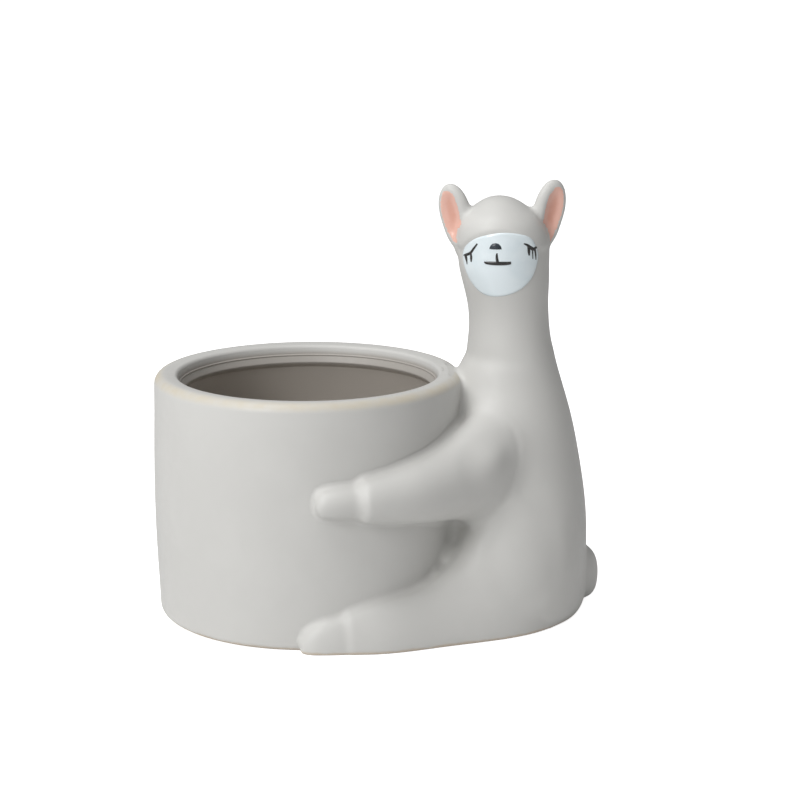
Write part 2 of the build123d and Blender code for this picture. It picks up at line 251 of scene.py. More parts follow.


# Glazes

# Where the pot's glaze changes, and where its painted shade inside the bowl and under the collar
# begins, in metres in from its wall or down from its top
THIN_GLAZE_AND_SHADE_INSET = (0.0040, 0.0034)
THIN_GLAZE_AND_SHADE_DROP = (0.0026, 0.0014)
COLLAR_SHADE_DROP = (0.0052, 0.0044)
WORN_LIP_INSET = (0.0030, 0.0012)
WORN_LIP_DROP = (0.0024, 0.0010)
# Height to which the foot is wiped bare, and how far that line wanders
FOOT_BARE = 0.0006
FOOT_WANDER = 0.0009
# Colour, darker share where the glaze pools (in the ears also the painted shade of the hollow), scale
# of the pools and roughness of each glossy glaze
GLOSSY_GLAZES = {
    "ear_pink": ("pink", (0.88, 0.76, 0.71), 300.0, 0.22),
    "face_white": ("white", (0.93, 0.95, 0.96), 150.0, 0.16),
    "nose_slate": ("nose", (0.55, 0.55, 0.55), 500.0, 0.35),
    "line_black": ("enamel", (1.6, 1.6, 1.6), 600.0, 0.25),
}


def new_material(name):
    """An empty node material and its tree."""
    material = bpy.data.materials.new(name)
    material.use_nodes = True
    return material, material.node_tree


def shaded(colour, red, green, blue):
    """A colour with each channel multiplied by its share."""
    return [channel * share for channel, share in zip(colour, (red, green, blue))]


def finish_glaze(tree, inputs, relief, strength, depth):
    """Fills the shader's inputs and gives the glaze a faint relief."""
    bump = node(tree, "ShaderNodeBump", {"Strength": strength, "Distance": depth, "Height": relief})
    fill(tree, tree.nodes["Principled BSDF"], {**inputs, "Normal": bump.outputs["Normal"]})


def bowl_glaze(tree, place, height, base, colours):
    """Adds the thin, warm glaze inside the bowl, with painted shade under the lip and collar, and the
    worn ring round the lip.
    """

    def band(value, edge, insets, *ends):
        return ramp(tree, value, edge - insets[0], edge - insets[1], *ends)

    centred = vector_maths(tree, "SUBTRACT", place, (POT_AXIS, 0, 0))
    reach = vector_maths(tree, "LENGTH", vector_maths(tree, "MULTIPLY", centred, (1, 1, 0)))
    inside = band(reach, POT_RADIUS, THIN_GLAZE_AND_SHADE_INSET, 1.0, 0.0)
    below = band(height, POT_HEIGHT, THIN_GLAZE_AND_SHADE_DROP, 1.0, 0.0)
    # Painted shade: the bowl is made darker towards its top, where the lip and collar shade it
    low = ramp(tree, height, POT_HEIGHT * 0.35, POT_HEIGHT * 0.85)
    bowl_with_painted_shade = blend_colour(tree, low, colours.bowl, shaded(colours.bowl, 0.94, 0.94, 0.94))
    # Painted shade: the collar under the lip is darkened towards a deeper tone of the bowl's glaze
    collar = blend_colour(tree, 0.80, base, shaded(colours.bowl, 0.76, 0.76, 0.76))
    bowl = blend_colour(tree, band(height, POT_HEIGHT, COLLAR_SHADE_DROP), bowl_with_painted_shade, collar)
    base = blend_colour(tree, maths(tree, "MULTIPLY", inside, below), base, bowl)
    ring = band(reach, POT_RADIUS, WORN_LIP_INSET)
    rim = maths(tree, "MULTIPLY", ring, band(height, POT_HEIGHT, WORN_LIP_DROP))
    patchy = ramp(tree, noise(tree, place, scale=130.0, detail=3.0, roughness=0.6), 0.35, 0.65, 0.45)
    worn = maths(tree, "MULTIPLY", rim, patchy)
    return blend_colour(tree, worn, base, shaded(colours.clay, 0.98, 0.91, 0.78))


def stone_glaze(name, colours):
    """Satin stone glaze: clouded, finely speckled and wiped bare at the foot; on the pot it also has
    the bowl's glaze with painted shade under the lip and collar.
    """
    material, tree = new_material(name)
    place = node(tree, "ShaderNodeTexCoord").outputs["Object"]
    height = node(tree, "ShaderNodeSeparateXYZ", {0: place}).outputs["Z"]
    clouds = ramp(tree, noise(tree, place, scale=70.0, detail=3.0, roughness=0.55), 0.35, 0.65)
    base = blend_colour(tree, clouds, shaded(colours.clay, 0.975, 0.975, 0.975), colours.clay)
    if name == "pot_glaze":
        base = bowl_glaze(tree, place, height, base, colours)
    speckle = noise(tree, place, scale=1500.0, detail=3.0, roughness=0.7)
    base = blend_colour(tree, ramp(tree, speckle, 0.30, 0.36, 0.10, 0.0), base, colours.bare)
    wipe = noise(tree, place, scale=260.0, detail=2.0, roughness=0.5)
    above = maths(tree, "MULTIPLY_ADD", wipe, -FOOT_WANDER, height)
    base = blend_colour(tree, ramp(tree, above, 0.0, FOOT_BARE, 0.85, 0.0), base, colours.bare)
    grain = noise(tree, place, scale=520.0, detail=2.0, roughness=0.6)
    inputs = {"Base Color": base, "Roughness": ramp(tree, grain, 0.3, 0.7, 0.42, 0.54), "IOR": 1.46}
    finish_glaze(tree, inputs, grain, strength=0.12, depth=0.0001)
    return material


def gloss_glaze(name, colour, pool_and_shade_tint, scale, roughness):
    """Glossy glaze that gathers darker in places and has a faint orange peel; in the ears it is also
    darkened towards the middle as painted shade.
    """
    material, tree = new_material(name)
    place = node(tree, "ShaderNodeTexCoord").outputs["Object"]
    pools_and_shade = ramp(tree, noise(tree, place, scale, detail=3.0, roughness=0.6), 0.42, 0.68)
    if name == "ear_pink":
        # Painted shade: the lining is darkened towards its middle, deep in the ear's hollow
        depth = node(tree, "ShaderNodeAttribute", attribute_name="depth").outputs["Fac"]
        middle = ramp(tree, depth, 0.0003, 0.0020)
        mixed = node(tree, "ShaderNodeMix", {0: 0.25, 2: middle, 3: pools_and_shade}, data_type="FLOAT")
        pools_and_shade = ramp(tree, mixed.outputs[0], 0.1, 0.9)
    inputs = {
        "Base Color": blend_colour(tree, pools_and_shade, colour, shaded(colour, *pool_and_shade_tint)),
        "Roughness": roughness,
        "IOR": 1.52,
        "Specular IOR Level": 0.35,
        "Coat Weight": 0.3,
        "Coat Roughness": 0.05,
    }
    peel = noise(tree, place, scale=380.0, detail=1.0, roughness=0.5)
    finish_glaze(tree, inputs, peel, strength=0.10, depth=0.00008)
    return material


def glaze(name):
    """The material of that name, made once from the panel's colours."""
    found = bpy.data.materials.get(name)
    if found:
        return found
    colours = bpy.context.scene.planter_colours
    if name not in GLOSSY_GLAZES:
        return stone_glaze(name, colours)
    colour, pool_and_shade_tint, scale, roughness = GLOSSY_GLAZES[name]
    return gloss_glaze(name, getattr(colours, colour), pool_and_shade_tint, scale, roughness)


# Pieces


def finish_piece(piece, nodes):
    """Hands a finished piece to the frame in place of the nodes that it stands for."""
    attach(piece, "root")
    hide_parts(*nodes)


def add_object(name, data):
    """A new object in the scene."""
    made = bpy.data.objects.new(name, data)
    bpy.context.scene.collection.objects.link(made)
    return made


def mesh_piece(name, points, faces, material, normals=None):
    """A smooth mesh object from points in millimetres."""
    mesh = bpy.data.meshes.new(name)
    mesh.from_pydata((np.asarray(points) * MM).tolist(), [], [list(map(int, f)) for f in faces])
    mesh.materials.append(material)
    mesh.shade_smooth()
    if normals is not None:
        mesh.normals_split_custom_set_from_vertices(normals.tolist())
    return add_object(name, mesh)


def apply_tree(source, tree, values, name):
    """Runs a geometry node tree on an object and keeps the result as a plain mesh object."""
    modifier = source.modifiers.new(tree.name, "NODES")
    modifier.node_group = tree
    for item in tree.interface.items_tree:
        if item.in_out == "INPUT" and item.name in values:
            modifier[item.identifier] = values[item.name]
    evaluated = source.evaluated_get(bpy.context.evaluated_depsgraph_get())
    mesh = bpy.data.meshes.new_from_object(evaluated)
    mesh.name = name
    source.modifiers.clear()
    bpy.data.objects.remove(source)
    return add_object(name, mesh)


def triangles_of(mesh):
    """The points of a mesh and the corners of its triangles, as arrays."""
    mesh.calc_loop_triangles()
    points = np.empty(len(mesh.vertices) * 3)
    mesh.vertices.foreach_get("co", points)
    corners = np.empty(len(mesh.loop_triangles) * 3, np.int32)
    mesh.loop_triangles.foreach_get("vertices", corners)
    return points.reshape(-1, 3), corners.reshape(-1, 3)


def face_outwards(mesh):
    """Turns the faces of a closed mesh outwards, so that it holds a positive volume."""
    points, corners = triangles_of(mesh)
    a, b, c = points[corners].transpose(1, 0, 2)
    if (a * np.cross(b, c)).sum() <= 0:
        mesh.flip_normals()


# Turned pot

# The wall's curves in to foot and lip: how many steps each has, their height in metres, and
# where each curve starts, in foot roundings above the ground and in metres above it
WALL_STEPS = 5
FOOT_CURVE_STEP = 0.0048
FOOT_CURVE_START = 1.3
LIP_CURVE_STEP = 0.0046
LIP_CURVE_START = 0.0275
# Fine corners of the section: how far inwards and down, and their rounding, in metres
LIP_GROOVE = [(0.0004, 0.0026, 0.0002), (0.0007, 0.0027, 0.0002), (0.0006, 0.0030, 0.0002)]
COLLAR_FOOT = [(0.0, 0.0, 0.0004), (-0.0004, 0.0006, 0.0003)]
# Steps round each rounded corner
CORNER_STEPS = 7


def rounded_outline(corners, steps):
    """Points along a closed outline whose corners (radius, height, rounding) are rounded."""
    points = []
    count = len(corners)
    for i, (x, z, rounding) in enumerate(corners):
        here = np.array([x, z])
        before = np.array(corners[i - 1][:2]) - here
        after = np.array(corners[(i + 1) % count][:2]) - here
        if rounding == 0:
            points.append(here)
            continue
        before_length, after_length = np.linalg.norm(before), np.linalg.norm(after)
        before, after = before / before_length, after / after_length
        half = np.arccos(np.clip(before @ after, -1, 1)) / 2
        setback = min(rounding / np.tan(half), 0.49 * before_length, 0.49 * after_length)
        radius = setback * np.tan(half)
        middle = here + (before + after) / np.linalg.norm(before + after) * radius / np.sin(half)
        start, end = here + before * setback - middle, here + after * setback - middle
        start_angle = np.arctan2(start[1], start[0])
        sweep = (np.arctan2(end[1], end[0]) - start_angle + pi) % (2 * pi) - pi
        for k in range(steps + 1):
            angle = start_angle + sweep * k / steps
            points.append(middle + radius * np.array([cos(angle), sin(angle)]))
    return points


def pot_outline(sizes):
    """The pot's section, from the foot up the wall, over the lip and down the bowl."""
    foot = POT_RADIUS - sizes.foot_draft
    lip = POT_RADIUS - sizes.lip_draft
    inner = POT_RADIUS - sizes.lip_width
    collar = inner - sizes.collar_step
    bowl = POT_RADIUS - sizes.wall
    recess = foot - sizes.foot_ring
    top = POT_HEIGHT
    collar_foot = top - sizes.collar_drop - sizes.collar_height
    foot_curve = sizes.foot_rounding * FOOT_CURVE_START
    turn = pi / 2 / WALL_STEPS
    wall = [
        (foot + (POT_RADIUS - foot) * sin(turn * k), foot_curve + k * FOOT_CURVE_STEP, 0)
        for k in range(1, WALL_STEPS + 1)
    ]
    wall += [
        (lip + (POT_RADIUS - lip) * cos(turn * k), LIP_CURVE_START + k * LIP_CURVE_STEP, 0)
        for k in range(1, WALL_STEPS)
    ]
    return [
        (foot, 0.0, sizes.foot_rounding),
        *wall,
        (lip, top, sizes.lip_rounding),
        (inner, top - sizes.lip_fall, sizes.lip_edge),
        *[(inner - inwards, top - down, rounding) for inwards, down, rounding in LIP_GROOVE],
        *[(collar - inwards, collar_foot - down, rounding) for inwards, down, rounding in COLLAR_FOOT],
        (POT_RADIUS - sizes.ledge_depth, collar_foot - sizes.ledge_slope, sizes.ledge_rounding),
        (bowl, collar_foot - sizes.bowl_taper, sizes.bowl_rounding),
        (bowl, sizes.floor, sizes.bowl_rounding),
        (sizes.drain_radius, sizes.floor, sizes.drain_rounding),
        (sizes.drain_radius, sizes.foot_recess, sizes.drain_edge),
        (recess, sizes.foot_recess, sizes.foot_edge),
        (recess, 0.0, sizes.foot_edge),
    ]


def turned_pot_tree(material):
    """Geometry nodes that turn an outline of points round the pot's axis into a closed wall."""
    inputs = {"Outline": "Geometry", "Outline points": "Int", "Turns": "Int", "Axis reach": "Float"}
    tree, given = geometry_tree("Turned pot", inputs)
    position = node(tree, "GeometryNodeInputPosition").outputs[0]
    count = given["Outline points"]
    inputs = {
        "Size X": 1.0,
        "Size Y": 1.0,
        "Vertices X": maths(tree, "ADD", count, 1.0),
        "Vertices Y": maths(tree, "ADD", given["Turns"], 1.0),
    }
    grid = node(tree, "GeometryNodeMeshGrid", inputs).outputs["Mesh"]
    place = node(tree, "ShaderNodeSeparateXYZ", {0: position}).outputs
    column = maths(tree, "MULTIPLY", maths(tree, "ADD", place[0], 0.5), count)
    column = maths(tree, "FLOORED_MODULO", maths(tree, "ROUND", column), count)
    angle = maths(tree, "MULTIPLY", maths(tree, "ADD", place[1], 0.5), 2 * pi)
    inputs = {"Geometry": given["Outline"], "Value": position, "Index": column}
    pick = node(tree, "GeometryNodeSampleIndex", inputs, data_type="FLOAT_VECTOR", domain="POINT")
    section = node(tree, "ShaderNodeSeparateXYZ", {0: pick.outputs["Value"]}).outputs
    along = maths(tree, "MULTIPLY", section[0], maths(tree, "COSINE", angle))
    across = maths(tree, "MULTIPLY", section[0], maths(tree, "SINE", angle))
    along = maths(tree, "ADD", along, given["Axis reach"])
    turned = node(tree, "ShaderNodeCombineXYZ", {0: along, 1: across, 2: section[2]}).outputs[0]
    moved = node(tree, "GeometryNodeSetPosition", {"Geometry": grid, "Position": turned})
    inputs = {"Geometry": moved.outputs[0], "Distance": 1e-6}
    merged = node(tree, "GeometryNodeMergeByDistance", inputs)
    return finish_tree(tree, merged.outputs[0], material)


class PLANTER_OT_pot(bpy.types.Operator):
    """Turns the pot from its section"""

    bl_idname = "planter.pot"
    bl_label = "Turn the pot"

    def execute(self, context):
        sizes = context.scene.planter_pot
        outline = rounded_outline(pot_outline(sizes), CORNER_STEPS)
        mesh = bpy.data.meshes.new("pot_outline")
        mesh.from_pydata([(x, 0.0, z) for x, z in outline], [], [])
        values = {"Outline points": len(outline), "Turns": sizes.turns, "Axis reach": POT_AXIS}
        source = add_object("pot_outline", mesh)
        pot = apply_tree(source, turned_pot_tree(glaze("pot_glaze")), values, "pot_body")
        face_outwards(pot.data)
        finish_piece(pot, ["pot"])
        return {"FINISHED"}


# Clay skin

BODY_NODES = [
    "torso", "neck_and_head", "left_foreleg", "right_foreleg", "left_hind_leg", "right_hind_leg"
]
HOOF_NODES = ["left_fore_hoof", "right_fore_hoof", "left_hind_hoof", "right_hind_hoof"]
LIMB_END_NODES = HOOF_NODES + ["tail", "left_ear", "right_ear"]
LINING_NODES = ["left_ear_lining", "right_ear_lining"]
SKIN_NODES = BODY_NODES + LIMB_END_NODES + LINING_NODES

# Regions of the skin in millimetres: from the pot's axis, out to either side and up
SHOULDER_CENTRE = (45, 28, 40)
SHOULDER_RADII = (14, 13, 15)
FLANK_CENTRE = (48, 26, 18)
FLANK_RADII = (12, 12, 15)
SWELL_CENTRE = (45.0, 27, 42.0)
SWELL_WIDTHS = (7.5, 9.0, 12.0)
SWELL_LEAN = radians(20)
# The hollow between arm, thigh and pot: shares of the pot's size, and millimetres
HOLLOW_SHARES = (0.95, 0.58, 0.39)
HOLLOW_RADII = (8.5, 9.5, 7.0)
# Fillings of the hollow, each with its share of the radius and the reach where it ends, and
# the reach beyond which stray skin is left out
HOLLOW_FILLINGS = ((1.0, 0.7), (0.65, 1.8))
HOLLOW_EDGE = 2.3
# Margin of the grid in steps, and how far the limbs' ends are measured in millimetres
GRID_MARGIN = 12
END_REACH = 2.5
# Heights in millimetres between which limbs begin to melt into the body
MELT_HEIGHTS = (1.0, 10.0)
# How near the pot, and how far from every part, skin is left out, in millimetres
FLUSH = 0.03
STRAY = 4.2
# Area of the smallest patch in square millimetres, the blur of an ear lining's border in
# millimetres, and the share of the shell's thickness that the ears have
LEAST_PATCH = 9
LINING_BLUR = 0.55
EAR_SHELL_SHARE = 0.3
# Fewest points between two parts that make a border
LEAST_PAIR = 12
# Distances from the skin between which a melt fades out, in millimetres
MELT_FADE = (1.8, 3.3)
# The brow's lift, bend and softness, and the share of its half width where the bend ends
BROW_LIFT = 0.15
BROW_BEND = 3.9
BROW_EDGE = 0.35
BROW_END = 1.05
# Where the wool cap fades in forwards and out under the crown, in millimetres
CAP_FRONT = (-1.0, 5.0)
CAP_TOP = (6, 2)
# How much slimmer the neck is, in shares of the cap's rise on the right and more on the left,
# and where that fades over the rim, under the crown and towards the middle, in millimetres
NECK_SLIM = (0.25, 0.4)
NECK_FOOT = (2, 9)
NECK_TOP = (12, 5)
NECK_SIDE = (1.0, 7.0)
SLOPE_STEP = 0.75


class Field:
    """Signed distances in millimetres on a grid of points."""

    def __init__(self, low, shape, step, values=None):
        self.low = np.array(low)
        self.shape = tuple(int(n) for n in shape)
        self.step = step
        self.values = values

    def like(self, values):
        """A field of other values on the same grid."""
        return Field(self.low, self.shape, self.step, values)

    def sample(self, points):
        """Values at any points, between the grid's own."""
        place = points / self.step - self.low
        cell = np.clip(np.floor(place).astype(int), 0, np.array(self.shape) - 2)
        part = np.clip(place - cell, 0, 1)
        total = 0
        for dx in (0, 1):
            for dy in (0, 1):
                for dz in (0, 1):
                    weight = (
                        (part[:, 0] if dx else 1 - part[:, 0])
                        * (part[:, 1] if dy else 1 - part[:, 1])
                        * (part[:, 2] if dz else 1 - part[:, 2])
                    )
                    corner = self.values[cell[:, 0] + dx, cell[:, 1] + dy, cell[:, 2] + dz]
                    total = total + weight * corner
        return total

    def slope(self, points):
        """The direction of steepest rise at each point, not made unit length."""
        slopes = []
        for axis in range(3):
            offset = np.zeros(3)
            offset[axis] = self.step * SLOPE_STEP
            rise = self.sample(points + offset) - self.sample(points - offset)
            slopes.append(rise / (2 * self.step * SLOPE_STEP))
        return np.stack(slopes, axis=1)

    def settle(self, points, passes=3):
        """Moves points onto the zero surface."""
        for _ in range(passes):
            slope = self.slope(points)
            square = np.maximum((slope * slope).sum(1), 0.05)
            move = -(self.sample(points) / square)[:, None] * slope
            points = points + np.clip(move, -0.5 * self.step, 0.5 * self.step)
        return points

    def normals(self, points):
        """Unit normals of the zero surface."""
        slope = self.slope(points)
        return slope / np.maximum(np.linalg.norm(slope, axis=1, keepdims=True), 1e-9)

    def blur(self, radius):
        """Softens the field by a bell curve of that radius."""
        spread = radius / self.step
        reach = max(1, int(round(3 * spread)))
        weights = np.exp(-0.5 * (np.arange(-reach, reach + 1) / spread) ** 2)
        weights = (weights / weights.sum()).astype(np.float32)
        for axis in range(3):
            edge = [(0, 0)] * 3
            edge[axis] = (reach, reach)
            padded = np.pad(self.values, edge, mode="edge")
            total = np.zeros_like(self.values)
            for k, weight in enumerate(weights):
                window = [slice(None)] * 3
                window[axis] = slice(k, k + self.shape[axis])
                total += weight * padded[tuple(window)]
            self.values = total


def distances(points, corners, like, reach):
    """The distance field of a closed mesh on the same grid as another field."""
    grid = openvdb.FloatGrid.createLevelSetFromPolygons(
        points.astype(np.float32),
        **corners,
        transform=openvdb.createLinearTransform(voxelSize=like.step),
        halfWidth=reach / like.step,
    )
    values = np.full(like.shape, reach, np.float32)
    grid.copyToArray(values, ijk=tuple(int(n) for n in like.low))
    return values


def node_distances(name, like, reach):
    """The distance field of one node of the frame."""
    points, corners = triangles_of(NODES[name].data)
    return distances(points / MM, {"triangles": corners.astype(np.uint32)}, like, reach)


def surface(values, like, level):
    """Points and quads of the surface where a field has that level."""
    grid = openvdb.FloatGrid(float(values.max()))
    grid.copyFromArray(np.ascontiguousarray(values))
    points, quads = grid.convertToQuads(isovalue=level)
    return (points + like.low) * like.step, quads


def rolled(values, like, radius):
    """Fills creases as a ball of that radius would that rolls along them."""
    points, quads = surface(values, like, radius)
    grown = distances(points, {"quads": quads}, like, radius + 3 * like.step)
    near = values <= radius + 2 * like.step
    return np.where(near, np.minimum(values, grown + radius), values)


def eased(value, low, high):
    """A smooth step from 0 at the low value to 1 at the high one."""
    share = np.clip((value - low) / (high - low), 0, 1)
    return share * share * (3 - 2 * share)


def melted(first, second, width, share):
    """Two fields joined so softly that no crease is left where they cross at a low angle."""
    lower = np.minimum(first, second)
    near = np.maximum(width - np.abs(first - second), 0) / width
    return lower - near * near * share * (width / 4) * (1 - eased(lower, *MELT_FADE))


def softened(values, skin, centre, radii, radius):
    """Evens out what lies inside an egg-shaped region on both sides, fading to its edge."""
    values = values.copy()
    for side in (-1, 1):
        middle = np.array((POT_AXIS / MM + centre[0], side * centre[1], centre[2]))
        reach = np.array(radii) + 3 * radius
        first = np.maximum(np.floor((middle - reach) / skin.step).astype(int) - skin.low, 0)
        last = np.ceil((middle + reach) / skin.step).astype(int) - skin.low
        window = tuple(slice(a, b) for a, b in zip(first, np.minimum(last, skin.shape)))
        patch = values[window]
        soft = Field(skin.low + first, patch.shape, skin.step, patch)
        soft.blur(radius)
        spread = []
        for axis in range(3):
            places = (skin.low[axis] + np.arange(window[axis].start, window[axis].stop)) * skin.step
            spread.append(((places - middle[axis]) / radii[axis]) ** 2)
        inside = spread[0][:, None, None] + spread[1][None, :, None] + spread[2][None, None, :]
        share = 1 - eased(inside, 0.35, 1.0).astype(np.float32)
        values[window] = patch + (soft.values - patch) * share
    return values


def shoulder_swell(across, along, up, rise):
    """How far the shoulder stands out over the valley between the arm's root and the flank."""
    x = across - POT_AXIS / MM - SWELL_CENTRE[0]
    y = (np.abs(along) - SWELL_CENTRE[1]) / SWELL_WIDTHS[1]
    z = up - SWELL_CENTRE[2]
    sideways = (x[:, None] * cos(SWELL_LEAN) - z[None, :] * sin(SWELL_LEAN)) / SWELL_WIDTHS[0]
    lengthways = (x[:, None] * sin(SWELL_LEAN) + z[None, :] * cos(SWELL_LEAN)) / SWELL_WIDTHS[2]
    reach = (sideways**2 + lengthways**2)[:, None, :] + (y**2)[None, :, None]
    return (rise * np.exp(-reach)).astype(np.float32)


def hollow_reach(across, along, up):
    """The squared reach from the middle of the hollow between arm, thigh and pot, 1 at its edge."""
    x = (across - (POT_AXIS + HOLLOW_SHARES[0] * POT_RADIUS) / MM) / HOLLOW_RADII[0]
    y = (np.abs(along) - HOLLOW_SHARES[1] * POT_RADIUS / MM) / HOLLOW_RADII[1]
    z = (up - HOLLOW_SHARES[2] * POT_HEIGHT / MM) / HOLLOW_RADII[2]
    return x**2 + y**2 + z**2


def wool_cap(across, along, up, rise):
    """How far the wool stands over the face above the brow, less how much slimmer the neck is."""
    face = bpy.context.scene.planter_face
    top = HEAD_TOP / MM
    x = across[:, None] - (POT_AXIS + face.setback) / MM
    y = along[None, :]
    sideways = x * cos(face.turn) - y * sin(face.turn)
    forward = -x * sin(face.turn) - y * cos(face.turn)
    side_share = np.clip(sideways * MM / face.half_width, -BROW_END, BROW_END)
    brow = (HEAD_TOP - face.top_drop) / MM + BROW_LIFT - BROW_BEND * side_share**2
    above = eased(up[None, None, :] - brow[:, :, None], -BROW_EDGE, BROW_EDGE)
    fading = 1 - eased(up, top - CAP_TOP[0], top - CAP_TOP[1])
    cap = rise * above * eased(forward, *CAP_FRONT)[:, :, None] * fading
    slim = rise * (NECK_SLIM[0] + NECK_SLIM[1] * eased(sideways, 2.0, -2.0))[:, :, None]
    risen = [POT_HEIGHT / MM + height for height in NECK_FOOT]
    slim = slim * (eased(up, *risen) * (1 - eased(up, top - NECK_TOP[0], top - NECK_TOP[1])))
    slim = slim * eased(np.abs(sideways), *NECK_SIDE)[:, :, None]
    return (cap - slim).astype(np.float32)


def melted_body(sizes, skin, parts, grid):
    """The field of torso, head, limbs and hooves, run into each other."""
    raised = eased(grid[2], *MELT_HEIGHTS).astype(np.float32)
    body = np.minimum(parts["torso"], parts["neck_and_head"])
    for limb in BODY_NODES[2:]:
        width = (sizes.haunch_melt if "hind" in limb else sizes.melt) / MM
        body = melted(body, parts[limb], width, raised)
    body = rolled(body, skin, sizes.join_radius / MM)
    hooves = np.minimum.reduce([parts[name] for name in HOOF_NODES])
    body = rolled(np.minimum(body, hooves), skin, sizes.cuff_radius / MM)
    body = body - shoulder_swell(*grid, sizes.shoulder_rise / MM)
    body = softened(body, skin, SHOULDER_CENTRE, SHOULDER_RADII, sizes.shoulder_softness / MM)
    return softened(body, skin, FLANK_CENTRE, FLANK_RADII, sizes.flank_softness / MM)


def sculpt(sizes):
    """The melted skin's field and each part's own distances on the same grid."""
    step = sizes.grain / MM * 1.0
    corners = [np.array(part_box(name)) / MM for name in SKIN_NODES]
    low = np.floor(np.min([c[0] for c in corners], axis=0) / step) - GRID_MARGIN
    high = np.ceil(np.max([c[1] for c in corners], axis=0) / step) + GRID_MARGIN
    low = low.astype(int)
    skin = Field(low, high - low + 1, step)
    hollow = sizes.hollow_radius / MM
    far = max(sizes.join_radius, sizes.haunch_melt) / MM + 3 * step
    parts = {name: node_distances(name, skin, far) for name in BODY_NODES}
    for name in LIMB_END_NODES + LINING_NODES:
        parts[name] = node_distances(name, skin, END_REACH)
        parts[name][parts[name] > END_REACH - 0.01] = far
    parts["pot"] = node_distances("pot", skin, hollow + 3 * step)
    grid = [(skin.low[axis] + np.arange(skin.shape[axis])) * step for axis in range(3)]
    across, along, up = grid
    clay = np.minimum(melted_body(sizes, skin, parts, grid), parts["pot"])
    reach = hollow_reach(across[:, None, None], along[None, :, None], up[None, None, :])
    for radius_share, edge in HOLLOW_FILLINGS:
        filled = rolled(clay, skin, hollow * radius_share)
        share = 1 - eased(reach, edge - 0.5, edge + 0.5).astype(np.float32)
        clay = clay + (np.minimum(filled, clay) - clay) * share
    clay = clay - wool_cap(*grid, sizes.cap_rise / MM)
    everything = np.minimum.reduce([clay] + [parts[n] for n in LIMB_END_NODES + LINING_NODES])
    skin.values = rolled(everything, skin, sizes.seam_radius / MM)
    skin.blur(sizes.softness / MM)
    skin.values = np.maximum(skin.values, -up[None, None, :].astype(np.float32))
    return skin, parts


def sides(quads):
    """The four sides of each quad, as pairs of points."""
    return np.vstack([quads[:, [0, 1]], quads[:, [1, 2]], quads[:, [2, 3]], quads[:, [3, 0]]])


def snapped(points, quads, score, skin):
    """Moves the points next to a sign change of a score onto the line where it is zero."""
    edges = sides(quads)
    first, second = score[edges[:, 0]], score[edges[:, 1]]
    crossing = (first * second < 0) & (np.abs(first - second) > 1e-9)
    edges, first, second = edges[crossing], first[crossing], second[crossing]
    share = first / (first - second)
    target = points[edges[:, 0]] + (points[edges[:, 1]] - points[edges[:, 0]]) * share[:, None]
    near = np.where(share < 0.5, edges[:, 0], edges[:, 1])
    total = np.zeros_like(points)
    hits = np.zeros(len(points))
    np.add.at(total, near, target)
    np.add.at(hits, near, 1)
    moved = hits > 0
    points = points.copy()
    points[moved] = total[moved] / hits[moved][:, None]
    points[moved] = skin.settle(points[moved], 2)
    return points


def even_border(skin, parts, ear):
    """Evens out the border between an ear and its lining."""
    corners = np.array(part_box(ear)) / MM
    first = np.floor(corners[0] / skin.step).astype(int) - 3 - skin.low
    last = np.ceil(corners[1] / skin.step).astype(int) + 4 - skin.low
    window = tuple(slice(a, b) for a, b in zip(first, last))
    lining = ear + "_lining"
    gap = parts[ear][window] - parts[lining][window]
    border = Field(skin.low + first, gap.shape, skin.step, np.clip(gap, -1, 1))
    border.blur(LINING_BLUR)
    parts[lining][window] = parts[ear][window] - border.values


def smoothed(values, quads, rounds):
    """Columns of values at the points, evened out among neighbours."""
    ends = sides(quads)
    count = len(values)
    hits = np.bincount(ends[:, 0], minlength=count) + np.bincount(ends[:, 1], minlength=count)
    for _ in range(rounds):
        for k in range(values.shape[1]):
            column = values[:, k]
            total = np.bincount(ends[:, 0], column[ends[:, 1]], count)
            total += np.bincount(ends[:, 1], column[ends[:, 0]], count)
            values[:, k] = 0.5 * column + 0.5 * total / hits
    return values


def share_out(points, quads, skin, parts):
    """The part that each quad of the skin belongs to, with the borders drawn clean."""
    for ear in ("left_ear", "right_ear"):
        even_border(skin, parts, ear)

    def scores(places):
        return np.stack([skin.like(parts[name]).sample(places) for name in SKIN_NODES], axis=1)

    near = smoothed(scores(points), quads, 4)
    ranked = np.argsort(near, axis=1)[:, :2]
    for i in range(len(SKIN_NODES)):
        for j in range(i + 1, len(SKIN_NODES)):
            pair = (ranked == (i, j)).all(axis=1) | (ranked == (j, i)).all(axis=1)
            if pair.sum() > LEAST_PAIR:
                difference = np.where(pair, near[:, i] - near[:, j], 0)
                points = snapped(points, quads, difference, skin)
    pot = skin.like(parts["pot"])
    points = snapped(points, quads, np.abs(pot.sample(points)) - FLUSH, skin)
    near = smoothed(scores(points), quads, 2)[quads].mean(axis=1)
    label = near.argmin(axis=1)
    middles = points[quads].mean(axis=1)
    away = hollow_reach(*middles.T) > HOLLOW_EDGE
    label[(np.abs(pot.sample(middles)) < FLUSH) | (near.min(axis=1) > STRAY) & away] = -1
    label = without_islands(label, quads, LEAST_PATCH / skin.step**2)
    return points, {name: quads[label == i] for i, name in enumerate(SKIN_NODES)}


def neighbours(quads):
    """Pairs of quads that share an edge, both ways round, sorted by the first of each pair."""
    edges = np.sort(sides(quads).astype(np.int64), axis=1)
    code = edges[:, 0] * (edges.max() + 1) + edges[:, 1]
    order = np.argsort(code, kind="stable")
    owner = np.tile(np.arange(len(quads)), 4)[order]
    same = code[order][1:] == code[order][:-1]
    one_way = np.column_stack([owner[:-1], owner[1:]])[same]
    pairs = np.vstack([one_way, one_way[:, ::-1]])
    return pairs[np.argsort(pairs[:, 0], kind="stable")].T


